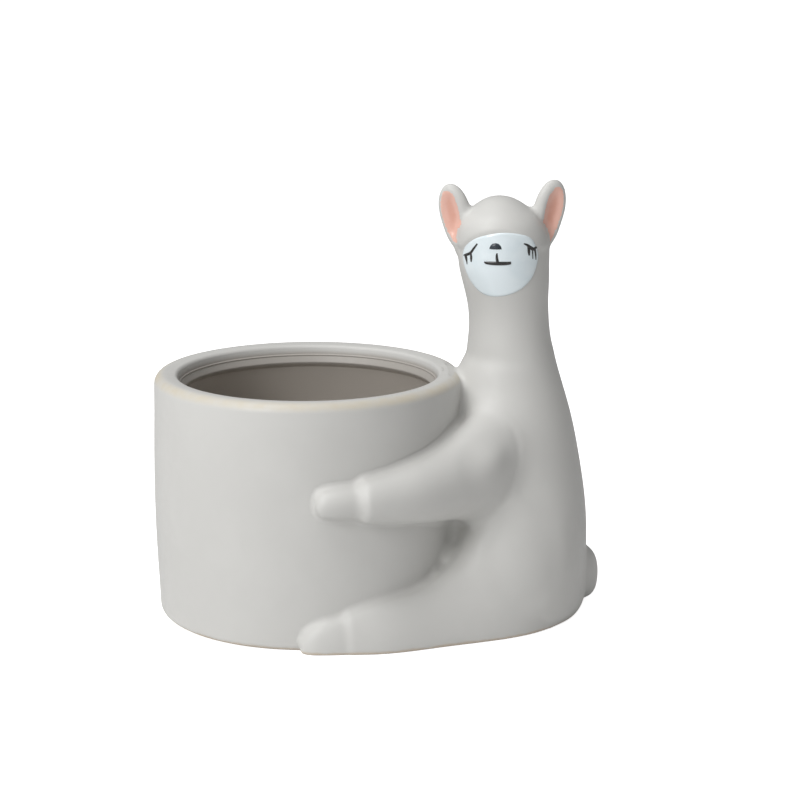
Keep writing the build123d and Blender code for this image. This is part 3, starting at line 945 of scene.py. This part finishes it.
def without_islands(label, quads, least):
    """Gives each island of fewer quads than the least the label that its neighbours have."""
    first, second = neighbours(quads)
    starts = np.searchsorted(first, np.arange(len(quads)))
    alike = label[first] == label[second]
    root = np.arange(len(quads))
    while True:
        beside = np.where(alike, root[second], len(quads))
        new = np.minimum(root, np.minimum.reduceat(beside, starts))
        new = new[new]
        if (new == root).all():
            break
        root = new
    size = np.bincount(root, minlength=len(quads))
    border = ~alike & (size[root[first]] < least)
    votes = np.zeros((len(quads), label.max() + 2), np.int32)
    np.add.at(votes, (root[first[border]], label[second[border]] + 1), 1)
    return np.where(size[root] < least, votes.argmax(axis=1)[root] - 1, label)


def shell(points, normals, quads, thickness):
    """A closed shell: the patch, its inner copy and the rim between them."""
    used, inverse = np.unique(quads, return_inverse=True)
    quads = inverse.reshape(quads.shape)
    outer, outward = points[used], normals[used]
    count = len(used)
    edges = sides(quads)
    code = edges[:, 0].astype(np.int64) * count + edges[:, 1]
    reverse = edges[:, 1].astype(np.int64) * count + edges[:, 0]
    ends = edges[~np.isin(code, reverse)]
    rim = np.column_stack([ends[:, 1], ends[:, 0], ends[:, 0] + count, ends[:, 1] + count])
    faces = np.vstack([quads, quads[:, ::-1] + count, rim])
    inner = outer - outward * thickness
    return np.vstack([outer, inner]), np.vstack([outward, -outward]), faces


def mark_depth(piece, points, faces, patch_size):
    """Stores how far each point of a lining lies from the lining's edge, in metres, for the painted
    shade deep in the ear.
    """
    rim = np.unique(faces[2 * patch_size:])
    depth = np.array([np.linalg.norm(points[rim] - point, axis=1).min() for point in points])
    depth = smoothed(depth[:, None], faces, 6)[:, 0]
    piece.data.attributes.new("depth", "FLOAT", "POINT").data.foreach_set("value", depth * MM)


# The sculpted field, kept for the operators that paint on it
SKIN = {}


class PLANTER_OT_skin(bpy.types.Operator):
    """Sculpts the alpaca as one clay skin and shares it out among its parts"""

    bl_idname = "planter.skin"
    bl_label = "Sculpt the animal"

    def execute(self, context):
        sizes = context.scene.planter_skin
        skin, parts = sculpt(sizes)
        points, quads = surface(skin.values, skin, 0.0)
        points = skin.settle(points)
        points, patches = share_out(points, quads, skin, parts)
        normals = skin.normals(points)
        for name, patch in patches.items():
            thickness = sizes.shell / MM * (EAR_SHELL_SHARE if "_ear" in name else 1.0)
            coordinates, directions, faces = shell(points, normals, patch, thickness)
            lining = name in LINING_NODES
            material = glaze("ear_pink" if lining else "stone_glaze")
            piece = mesh_piece(name + "_skin", coordinates, faces, material, directions)
            if lining:
                mark_depth(piece, coordinates, faces, len(patch))
            finish_piece(piece, [name])
        SKIN["field"] = skin
        return {"FINISHED"}


# Face

# The way to the skin in front of the face: start and longest stride in millimetres
FACE_START = 13.0
FACE_STRIDE = 0.4
FACE_CAUTION = 0.8
FACE_PASSES = 60
# Coats of glaze: crowding of the rings, rounding in thicknesses, and sink in millimetres
RING_BEND = 0.85
COAT_ROUNDING = 2.2
COAT_SINK = 0.02
FACE_RINGS = 26
FACE_DEPTH = 0.35
OUTLINE_STEPS = 12
# The nose in millimetres: across and up on the face, and its flat foot in shares of its radius
NOSE_PLACE = (-0.4, 10.42)
NOSE_FOOT_DROP = 0.04
NOSE_FOOT_SHARES = (0.75, 0.25, -0.25, -0.75)
NOSE_RISE = 0.22
NOSE_DEPTH = 0.1
NOSE_RINGS = 8
NOSE_STEPS = 15
# Painted lines: points between places, and how far they are pressed flat
STROKE_STEPS = 8
FLATNESS = -0.6
OUTLINE_SHARES = [
    (0.06, 1.0), (0.55, 0.98), (0.86, 0.89), (1.0, 0.68), (0.99, 0.50), (0.86, 0.27), (0.55, 0.09),
    (0.10, 0.0), (-0.35, 0.01), (-0.68, 0.14), (-0.92, 0.37), (-1.0, 0.62), (-0.84, 0.79),
    (-0.50, 0.92),
]
MOUTH_SHARES = [
    [(-0.335, 0.548, 0.2), (-0.27, 0.532, 0.6), (0.0, 0.53, 0.78), (0.24, 0.533, 0.7),
     (0.345, 0.54, 0.55)],
    [(-0.005, 0.69, 0.25), (-0.012, 0.63, 0.5), (0.012, 0.545, 0.62)],
]
EYE_SHARES = {
    "left": [
        [(-0.53, 0.815, 0.35), (-0.63, 0.735, 0.5), (-0.72, 0.66, 0.6), (-0.84, 0.62, 0.55),
         (-0.93, 0.60, 0.25)],
        [(-0.91, 0.605, 0.3), (-0.86, 0.585, 0.85), (-0.84, 0.54, 0.6), (-0.82, 0.47, 0.2)],
        [(-0.71, 0.66, 0.4), (-0.70, 0.59, 0.65), (-0.70, 0.52, 0.35)],
    ],
    "right": [
        [(0.645, 0.83, 0.25), (0.73, 0.805, 0.5), (0.80, 0.765, 0.7), (0.87, 0.735, 0.7),
         (0.95, 0.765, 0.45)],
        [(0.755, 0.785, 0.5), (0.765, 0.71, 0.65), (0.775, 0.64, 0.35)],
        [(0.85, 0.73, 0.35), (0.86, 0.58, 0.2)],
        [(0.905, 0.73, 0.5), (0.92, 0.65, 0.4), (0.93, 0.56, 0.2)],
    ],
}


def curve_through(points, closed, steps):
    """A smooth curve through the given points, with any number of columns."""
    points = np.asarray(points, float)
    count = len(points)
    spans = count if closed else count - 1
    made = []
    for i in range(spans):
        if closed:
            p0, p1, p2, p3 = (points[(i + k - 1) % count] for k in range(4))
        else:
            p0, p1, p2, p3 = (points[min(max(i + k - 1, 0), count - 1)] for k in range(4))
        for k in range(steps):
            t = k / steps
            square = t * t * (2 * p0 - 5 * p1 + 4 * p2 - p3)
            cube = t * t * t * (3 * p1 - p0 - 3 * p2 + p3)
            made.append(p1 + 0.5 * (t * (p2 - p0) + square + cube))
    if not closed:
        made.append(points[-1])
    return np.array(made)


class FacePlane:
    """The flat view of the face: across and up in millimetres, looking back at the head."""

    def __init__(self, sizes):
        self.sizes = sizes
        across = Vector((cos(sizes.turn), -sin(sizes.turn), 0))
        self.across = np.array(across)
        self.facing = np.array((-sin(sizes.turn), -cos(sizes.turn), 0))
        bottom = HEAD_TOP - sizes.top_drop - sizes.height
        self.origin = np.array((POT_AXIS + sizes.setback, 0, bottom)) / MM

    def flat(self, shares):
        """Plane coordinates of points given as shares of the face's half width and height."""
        shares = np.asarray(shares, float)
        size = np.array([self.sizes.half_width, self.sizes.height]) / MM
        return shares[:, :2] * size

    def on_skin(self, flat):
        """The points of the skin in front of the given plane points, and their normals."""
        skin = SKIN["field"]
        base = self.origin + flat[:, :1] * self.across + flat[:, 1:2] * np.array([0, 0, 1])
        reach = np.full(len(base), FACE_START)
        for _ in range(FACE_PASSES):
            value = skin.sample(base + reach[:, None] * self.facing)
            reach -= np.clip(value, -FACE_STRIDE, FACE_STRIDE) * FACE_CAUTION
        points = base + reach[:, None] * self.facing
        return points, skin.normals(points)


def coat(plane, outline, thickness, rings, depth):
    """A closed coat of glaze inside an outline on the skin, rounded off at its edge."""
    middle = outline.mean(axis=0)
    spokes = len(outline)
    share = np.linspace(0, 1, rings + 1)[1:] ** RING_BEND
    flat = np.vstack([middle[None]] + [middle + (outline - middle) * s for s in share])
    points, normals = plane.on_skin(flat)
    span = np.linalg.norm(outline - middle, axis=1).mean()
    inset = np.concatenate([[span], np.repeat((1 - share) * span, spokes)])
    rounding = thickness * COAT_ROUNDING
    rise = thickness * np.sqrt(1 - np.clip(1 - inset / rounding, 0, 1) ** 2) - COAT_SINK
    front = points + normals * rise[:, None]
    back = points - normals * depth
    count = len(points)
    faces = []
    for k in range(spokes):
        after = (k + 1) % spokes
        faces.append((0, 1 + after, 1 + k))
        faces.append((count, count + 1 + k, count + 1 + after))
        for ring in range(len(share) - 1):
            a, b = 1 + ring * spokes + k, 1 + ring * spokes + after
            c, d = b + spokes, a + spokes
            faces.append((a, b, c, d))
            faces.append((count + d, count + c, count + b, count + a))
        a, b = 1 + (len(share) - 1) * spokes + k, 1 + (len(share) - 1) * spokes + after
        faces.append((a, b, count + b, count + a))
    return np.vstack([front, back]), faces


def painted_line_tree(material):
    """Geometry nodes that lay flat, tapering strokes of enamel along lines of points."""
    inputs = {"Lines": "Geometry", "Width": "Float", "Flatness": "Float"}
    tree, given = geometry_tree("Painted lines", inputs)

    def stored(name, kind):
        read = node(tree, "GeometryNodeInputNamedAttribute", {"Name": name}, data_type=kind)
        return read.outputs["Attribute"]

    position = node(tree, "GeometryNodeInputPosition").outputs[0]
    lines = node(tree, "GeometryNodeMeshToCurve", {"Mesh": given["Lines"]}).outputs[0]
    radius = maths(tree, "MULTIPLY", stored("weight", "FLOAT"), given["Width"])
    sized = node(tree, "GeometryNodeSetCurveRadius", {"Curve": lines, "Radius": radius}).outputs[0]
    inputs = {"Geometry": sized, "Name": "middle", "Value": position}
    kind = "GeometryNodeStoreNamedAttribute"
    kept = node(tree, kind, inputs, data_type="FLOAT_VECTOR", domain="POINT").outputs[0]
    brush = node(tree, "GeometryNodeCurvePrimitiveCircle", {"Resolution": 12, "Radius": 0.5})
    inputs = {"Curve": kept, "Profile Curve": brush.outputs["Curve"], "Fill Caps": True}
    stroke = node(tree, "GeometryNodeCurveToMesh", inputs)
    if "Scale" in stroke.inputs:
        fill(tree, stroke, {"Scale": radius})
    facing = stored("facing", "FLOAT_VECTOR")
    offset = vector_maths(tree, "SUBTRACT", position, stored("middle", "FLOAT_VECTOR"))
    height = vector_maths(tree, "DOT_PRODUCT", offset, facing)
    press = maths(tree, "MULTIPLY", height, given["Flatness"])
    shift = node(tree, "ShaderNodeVectorMath", {0: facing, "Scale": press}, operation="SCALE")
    inputs = {"Geometry": stroke.outputs[0], "Offset": shift.outputs[0]}
    return finish_tree(tree, node(tree, "GeometryNodeSetPosition", inputs).outputs[0], material)


def painted_lines(name, plane, strokes, width, lift, node_name):
    """Strokes of enamel on the face, from rows of across, up and weight shares."""
    points, edges, weights, directions = [], [], [], []
    for stroke in strokes:
        dense = curve_through(stroke, False, STROKE_STEPS)
        on_face, normals = plane.on_skin(plane.flat(dense))
        start = len(points)
        points += ((on_face + normals * lift) * MM).tolist()
        weights += dense[:, 2].tolist()
        directions += normals.ravel().tolist()
        edges += [(start + k, start + k + 1) for k in range(len(dense) - 1)]
    mesh = bpy.data.meshes.new(name)
    mesh.from_pydata(points, edges, [])
    mesh.attributes.new("weight", "FLOAT", "POINT").data.foreach_set("value", weights)
    mesh.attributes.new("facing", "FLOAT_VECTOR", "POINT").data.foreach_set("vector", directions)
    tree = bpy.data.node_groups.get("Painted lines") or painted_line_tree(glaze("line_black"))
    values = {"Width": width, "Flatness": FLATNESS}
    piece = apply_tree(add_object(name + "_lines", mesh), tree, values, name)
    face_outwards(piece.data)
    finish_piece(piece, [node_name])


class PLANTER_OT_face(bpy.types.Operator):
    """Glazes the face white"""

    bl_idname = "planter.face"
    bl_label = "Glaze the face"

    def execute(self, context):
        sizes = context.scene.planter_face
        plane = FacePlane(sizes)
        outline = plane.flat(curve_through(OUTLINE_SHARES, True, OUTLINE_STEPS))[::-1]
        points, faces = coat(plane, outline, sizes.glaze / MM, FACE_RINGS, FACE_DEPTH)
        piece = mesh_piece("face_patch", points, faces, glaze("face_white"))
        face_outwards(piece.data)
        finish_piece(piece, ["face_glaze"])
        return {"FINISHED"}


class PLANTER_OT_features(bpy.types.Operator):
    """Paints the nose, the mouth and the closed eyes with their lashes"""

    bl_idname = "planter.features"
    bl_label = "Paint nose, mouth and eyes"

    def execute(self, context):
        sizes = context.scene.planter_face
        plane = FacePlane(sizes)
        lift = sizes.glaze / MM
        radius = sizes.nose_radius / MM
        middle, height = NOSE_PLACE
        foot = [(middle + radius * share, height - NOSE_FOOT_DROP) for share in NOSE_FOOT_SHARES]
        angles = np.linspace(0, pi, NOSE_STEPS)
        dome = [(middle + radius * cos(a), height + radius * sin(a)) for a in angles]
        points, faces = coat(plane, np.array(foot + dome), lift + NOSE_RISE, NOSE_RINGS, NOSE_DEPTH)
        nose = mesh_piece("nose_paint", points, faces, glaze("nose_slate"))
        face_outwards(nose.data)
        finish_piece(nose, ["nose"])
        width = sizes.line_width
        painted_lines("mouth_paint", plane, MOUTH_SHARES, width, lift, "mouth")
        for side, strokes in EYE_SHARES.items():
            painted_lines(side + "_eye_paint", plane, strokes, width, lift, side + "_eye")
        return {"FINISHED"}


# Stage

# Focal length and width of the picture in pixels, the sensor's width in millimetres, and the
# camera's place, direction and nearest sight in metres
FOCAL_PIXELS = 2118
PICTURE_PIXELS = 800
SENSOR_WIDTH = 36.0
CAMERA_PLACE = (POT_AXIS, -0.4667, 0.1549)
CAMERA_AIM = (0.0432, 0.9737, -0.2239)
CAMERA_START = 0.01
# Name, place, size in metres and power in watts of each lamp
LAMPS = (
    ("key", (-0.64, -0.72, 0.62), 0.60, 6.4),
    ("top", (-0.30, -0.12, 0.92), 0.60, 4.4),
)
LAMP_AIM = (0.0, 0.0, 0.045)
SKY_LEVEL = 0.29
FLOOR_HALF = 40.0
FLOOR_GREY = (0.80, 0.80, 0.80, 1)
FLOOR_ROUGHNESS = 0.9
FLOOR_GLOW = 0.86


def lay_floor():
    """A wide pale floor that takes shadows and looks light to the camera."""
    mesh = bpy.data.meshes.new("floor")
    half = FLOOR_HALF
    corners = [(-half, -half, 0), (half, -half, 0), (half, half, 0), (-half, half, 0)]
    mesh.from_pydata(corners, [], [(0, 1, 2, 3)])
    material, tree = new_material("floor")
    shader = tree.nodes["Principled BSDF"]
    fill(tree, shader, {"Base Color": FLOOR_GREY, "Roughness": FLOOR_ROUGHNESS})
    seen = node(tree, "ShaderNodeLightPath").outputs["Is Camera Ray"]
    strength = maths(tree, "MULTIPLY", seen, FLOOR_GLOW)
    glow = node(tree, "ShaderNodeEmission", {"Strength": strength})
    both = node(tree, "ShaderNodeAddShader", {0: shader.outputs[0], 1: glow.outputs[0]})
    fill(tree, tree.nodes["Material Output"], {"Surface": both.outputs[0]})
    mesh.materials.append(material)
    add_object("floor", mesh)


def light_sky(scene):
    """A white backdrop that lights the scene only softly."""
    world = bpy.data.worlds.new("studio")
    scene.world = world
    world.use_nodes = True
    tree = world.node_tree
    seen = node(tree, "ShaderNodeLightPath").outputs["Is Camera Ray"]
    inputs = {"Value": seen, "To Min": SKY_LEVEL, "To Max": 1.0}
    level = node(tree, "ShaderNodeMapRange", inputs).outputs["Result"]
    fill(tree, tree.nodes["Background"], {"Strength": level, "Color": (1, 1, 1, 1)})


class PLANTER_OT_stage(bpy.types.Operator):
    """Sets the pale floor, the soft lights and the camera"""

    bl_idname = "planter.stage"
    bl_label = "Set the stage"

    def execute(self, context):
        scene = context.scene
        scene.view_settings.view_transform = "Standard"
        lay_floor()
        light_sky(scene)
        for name, place, size, power in LAMPS:
            lamp = bpy.data.lights.new(name, "AREA")
            lamp.shape = "DISK"
            lamp.size = size
            lamp.energy = power
            light = add_object(name, lamp)
            light.location = place
            aim = Vector(LAMP_AIM) - Vector(place)
            light.rotation_euler = aim.to_track_quat("-Z", "Y").to_euler()
        lens = bpy.data.cameras.new("camera")
        lens.sensor_fit = "HORIZONTAL"
        lens.sensor_width = SENSOR_WIDTH
        lens.lens = FOCAL_PIXELS / PICTURE_PIXELS * SENSOR_WIDTH
        lens.clip_start = CAMERA_START
        camera = add_object("camera", lens)
        turn = Vector(CAMERA_AIM).normalized().to_track_quat("-Z", "Y").to_matrix().to_4x4()
        camera.matrix_world = Matrix.Translation(CAMERA_PLACE) @ turn
        scene.camera = camera
        return {"FINISHED"}


class PLANTER_PT_panel(bpy.types.Panel):
    """Lists the planter's build steps"""

    bl_idname = "PLANTER_PT_panel"
    bl_label = "Planter"
    bl_space_type = "VIEW_3D"
    bl_region_type = "UI"
    bl_category = "Planter"

    def draw(self, context):
        for operator in STEPS:
            self.layout.operator(operator.bl_idname)
        for group in SETTINGS:
            settings = getattr(context.scene, group)
            box = self.layout.box()
            for name in settings.__annotations__:
                box.prop(settings, name)


STEPS = (PLANTER_OT_pot, PLANTER_OT_skin, PLANTER_OT_face, PLANTER_OT_features, PLANTER_OT_stage)
CLASSES = (*SETTINGS.values(), *STEPS, PLANTER_PT_panel)


def register():
    """Adds the settings and the build steps to the session."""
    for item in CLASSES:
        bpy.utils.register_class(item)
    for name, group in SETTINGS.items():
        setattr(bpy.types.Scene, name, bpy.props.PointerProperty(type=group))


def unregister():
    """Takes the settings and the build steps away again."""
    for name in SETTINGS:
        delattr(bpy.types.Scene, name)
    for item in reversed(CLASSES):
        bpy.utils.unregister_class(item)


def main():
    """Builds the planter step by step."""
    register()
    bpy.ops.planter.pot()
    bpy.ops.planter.skin()
    bpy.ops.planter.face()
    bpy.ops.planter.features()
    bpy.ops.planter.stage()


if __name__ == "__main__":
    main()
